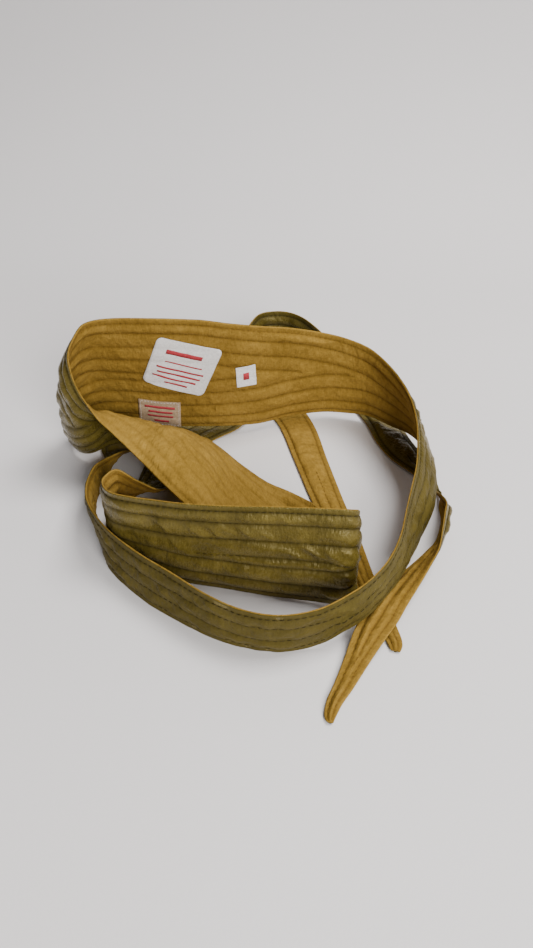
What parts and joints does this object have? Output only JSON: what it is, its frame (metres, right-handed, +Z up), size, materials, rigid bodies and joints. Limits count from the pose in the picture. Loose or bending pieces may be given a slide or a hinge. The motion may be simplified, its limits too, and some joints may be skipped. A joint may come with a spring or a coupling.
{
  "type": "quilted fabric wrap belt",
  "caption": "Long soft wrap belt, silk outside and cotton inside, channel quilted, wide in the middle and tapering to ties, standing on its edge in a loose coil.",
  "frame": {"origin": "on the floor under the middle of the coil's bounding box", "axes": "+Z up, +Y from the open front of the coil to its back, +X to the right seen from the front"},
  "size_m": [0.2042, 0.2866, 0.0829],
  "materials": {
    "silk_shell": "olive silk, soft sheen with fine slub and puckers between quilting lines",
    "cotton_lining": "matte golden brown cotton, plain weave",
    "wadding": "thin off-white needled wadding, hidden between the cloths",
    "golden_thread": "twisted golden brown sewing thread",
    "white_label": "white woven satin tape, blank bars only",
    "beige_label": "beige woven tape, blank bars only",
    "label_thread": "white sewing thread"
  },
  "bodies": {
    "root": {"silk_shell": "silk_shell", "cotton_lining": "cotton_lining", "wadding": "wadding", "care_label": "white_label", "care_label_thread": "label_thread", "edge_thread_01": "golden_thread", "edge_thread_02": "golden_thread", "fibre_label": "beige_label", "fibre_label_thread": "label_thread", "quilting_thread_01": "golden_thread", "quilting_thread_02": "golden_thread", "quilting_thread_03": "golden_thread", "quilting_thread_04": "golden_thread", "quilting_thread_05": "golden_thread", "quilting_thread_06": "golden_thread", "quilting_thread_07": "golden_thread", "quilting_thread_08": "golden_thread", "quilting_thread_09": "golden_thread", "quilting_thread_10": "golden_thread", "quilting_thread_11": "golden_thread", "quilting_thread_12": "golden_thread", "quilting_thread_13": "golden_thread", "quilting_thread_14": "golden_thread", "quilting_thread_15": "golden_thread", "size_tab": "white_label", "size_tab_thread": "label_thread"}
  },
  "joints": []
}
